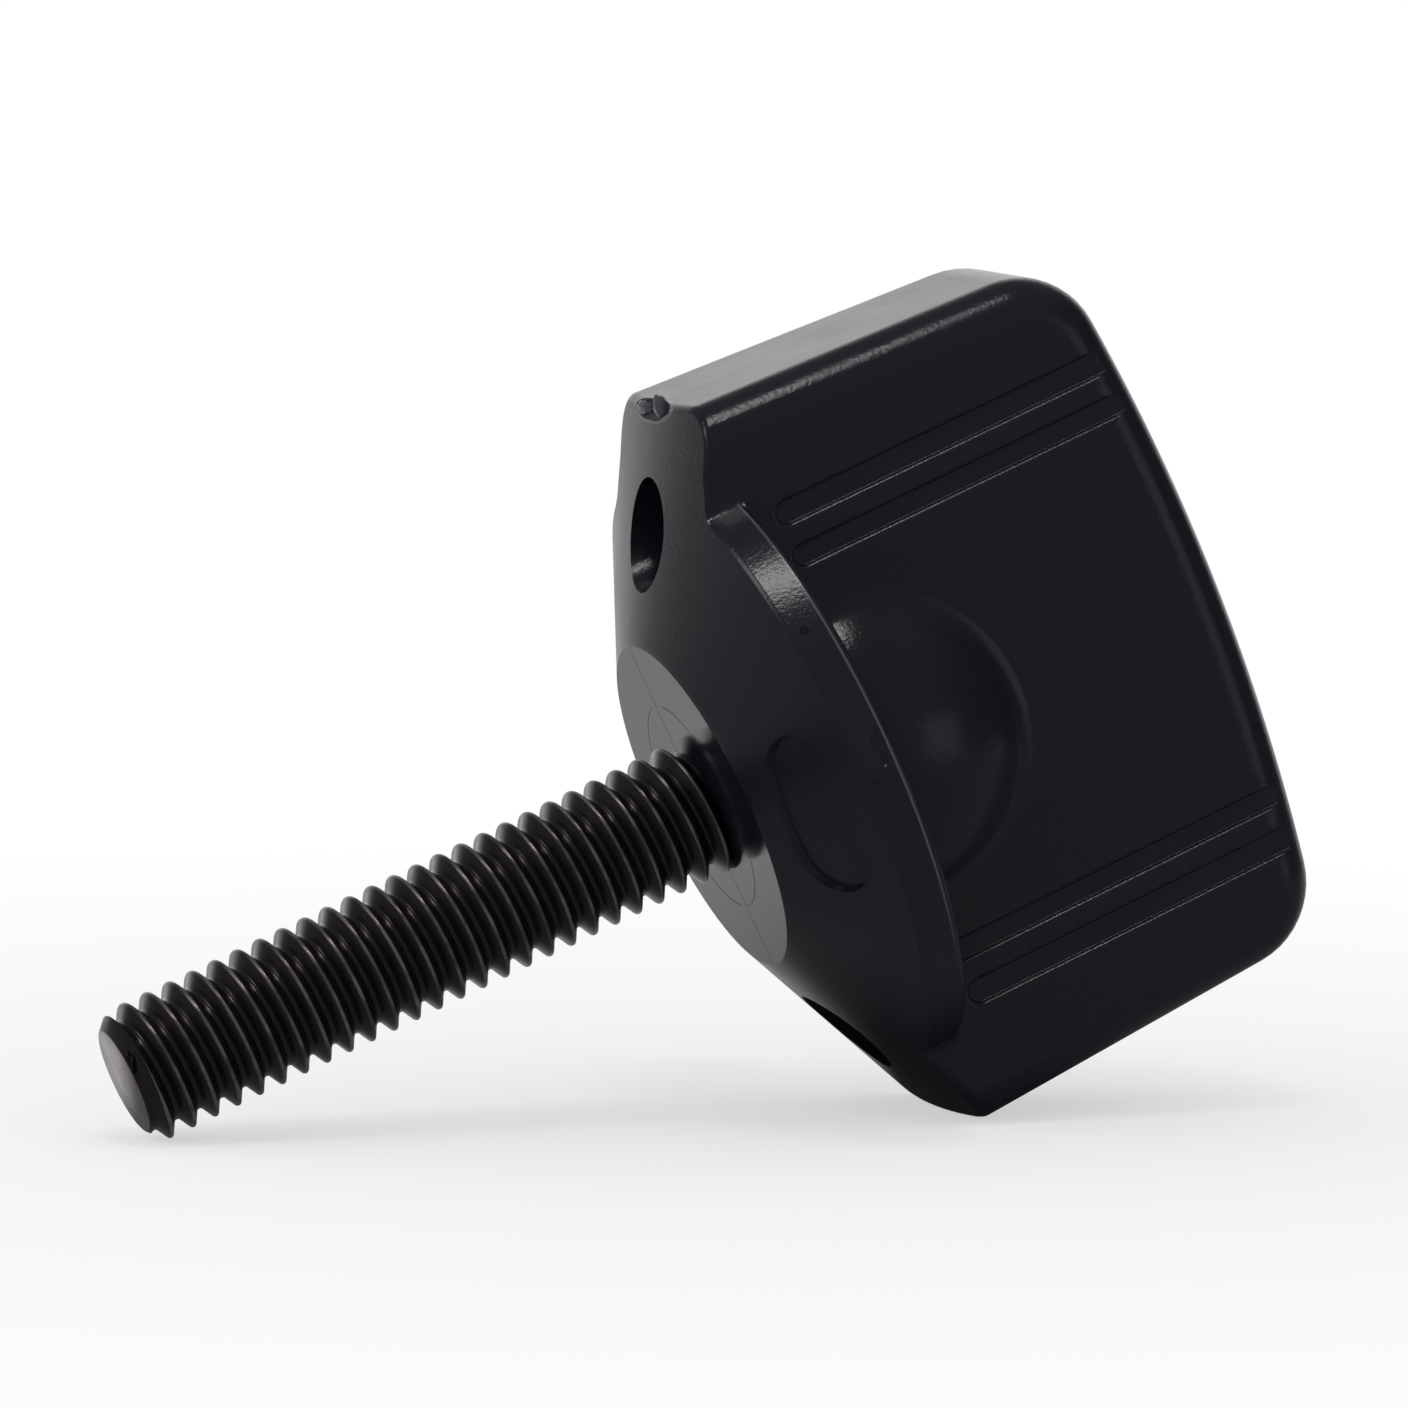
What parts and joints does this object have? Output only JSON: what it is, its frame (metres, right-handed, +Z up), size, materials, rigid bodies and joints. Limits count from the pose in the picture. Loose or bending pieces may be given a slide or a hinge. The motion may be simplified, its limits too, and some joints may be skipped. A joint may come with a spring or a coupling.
{
  "type": "thumb screw",
  "caption": "Winged plastic thumb screw with a round flange, moulded over the head of a threaded steel stud, for clamping or adjusting by hand.",
  "frame": {"origin": "centre of the seat, the flat ring where the stud leaves the grip", "axes": "+Z up as the screw lies at rest on its lower wing and its tip, +X level, from the tip towards the grip, +Y across the thickness of the wings"},
  "size_m": [0.0697, 0.0364, 0.0476],
  "materials": {
    "black_plastic": "moulded semi-gloss black",
    "black_oxide_steel": "oiled black oxide"
  },
  "bodies": {
    "root": {"grip": "black_plastic", "stud": "black_oxide_steel"}
  },
  "joints": []
}
